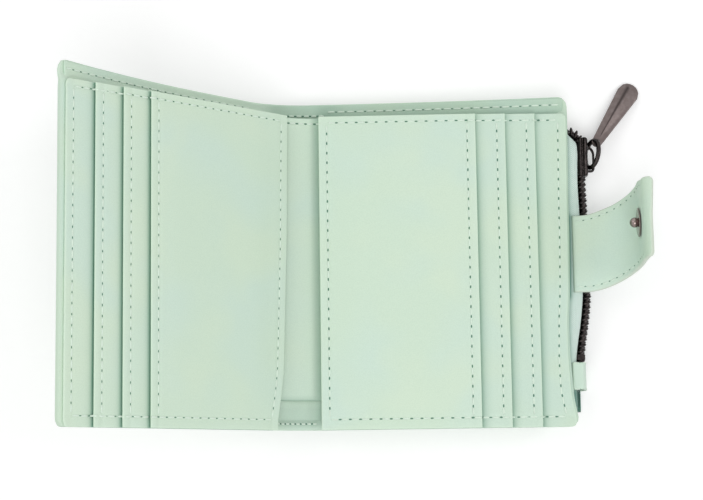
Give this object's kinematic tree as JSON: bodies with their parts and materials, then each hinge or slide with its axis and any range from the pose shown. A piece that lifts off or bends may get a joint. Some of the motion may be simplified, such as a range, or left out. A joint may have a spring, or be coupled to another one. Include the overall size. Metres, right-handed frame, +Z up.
{
  "type": "compact wallet",
  "caption": "Small bifold wallet, opened: stacked card slots in both halves, note compartment behind them, outside coin pocket with a metal zip, and a curled snap tab",
  "frame": {"origin": "middle of the flat face under the back cover, on which the wallet lies", "axes": "+X across the wallet from the spine towards the zip and the tab, +Y along the spine towards the mouth of the note compartment, +Z up out of the card slots"},
  "size_m": [0.171, 0.1079, 0.0735],
  "materials": {
    "mint_leather": "pale green coated leather with a fine crossed grain, satin",
    "mint_leather_lining": "thin smooth green lining, matt",
    "coin_lining_fabric": "plain woven lining, matt",
    "zip_tape_weave": "herringbone woven zip tape",
    "gunmetal": "dark gunmetal plating, semi-gloss",
    "dark_nickel": "dark nickel plating, polished"
  },
  "bodies": {
    "back_half": {"right_front_pocket": "mint_leather", "right_slot_panel_inner": "mint_leather", "right_slot_panel_outer": "mint_leather", "right_base_panel": "mint_leather", "right_note_lining": "mint_leather_lining", "note_back_wall": "mint_leather", "coin_lining_front": "coin_lining_fabric", "coin_lining_back": "coin_lining_fabric", "back_cover": "mint_leather", "zip_tape_front": "zip_tape_weave", "zip_tape_back": "zip_tape_weave", "zip_teeth_front": "gunmetal", "zip_teeth_back": "gunmetal", "zip_bottom_stop": "gunmetal", "zip_top_stop_front": "gunmetal", "zip_top_stop_back": "gunmetal", "zip_end_cap": "mint_leather", "spine_lining": "mint_leather_lining", "spine_cover_lining": "mint_leather_lining", "spine_cover": "mint_leather", "tab_root": "mint_leather"},
    "front_half": {"left_front_pocket": "mint_leather", "left_slot_panel_inner": "mint_leather", "left_slot_panel_outer": "mint_leather", "left_base_panel": "mint_leather", "left_note_lining": "mint_leather_lining", "front_cover_lining": "mint_leather_lining", "front_cover": "mint_leather", "snap_socket": "dark_nickel"},
    "tab": {"tab_outer": "mint_leather", "tab_lining": "mint_leather", "snap_stud": "dark_nickel", "snap_cap": "gunmetal"},
    "zip_slider": {"zip_slider": "gunmetal"},
    "jump_ring": {"jump_ring": "gunmetal"},
    "zip_pull": {"zip_pull": "dark_nickel"}
  },
  "joints": [
    {"name": "spine_fold", "type": "hinge", "parent": "back_half", "child": "front_half", "pos_m": [-0.0432, 0, 0.0165], "axis": [0, 1, 0], "range_deg": [-45.6, 134.4], "deforming": ["spine_cover", "spine_cover_lining", "spine_lining"]},
    {"name": "tab_fold", "type": "hinge", "parent": "back_half", "child": "tab", "pos_m": [0.044, 0.0042, 0.01105], "axis": [0, -1, 0], "range_deg": [0, 89], "deforming": ["tab_root"]},
    {"name": "zip_slide", "type": "slide", "parent": "back_half", "child": "zip_slider", "axis": [-0.0259, -0.9997, 0], "range_m": [0, 0.054], "deforming": ["zip_teeth_front", "zip_teeth_back", "zip_tape_front", "zip_tape_back"]},
    {"name": "ring_swing", "type": "hinge", "parent": "zip_slider", "child": "jump_ring", "pos_m": [0.04775, 0.0319, 0.00475], "axis": [0, 0, 1], "range_deg": [-125, 0]},
    {"name": "pull_swing", "type": "hinge", "parent": "jump_ring", "child": "zip_pull", "pos_m": [0.04924, 0.04037, 0.00475], "axis": [0.0956, 0.145, 0.9848], "range_deg": [-45, 30]}
  ]
}
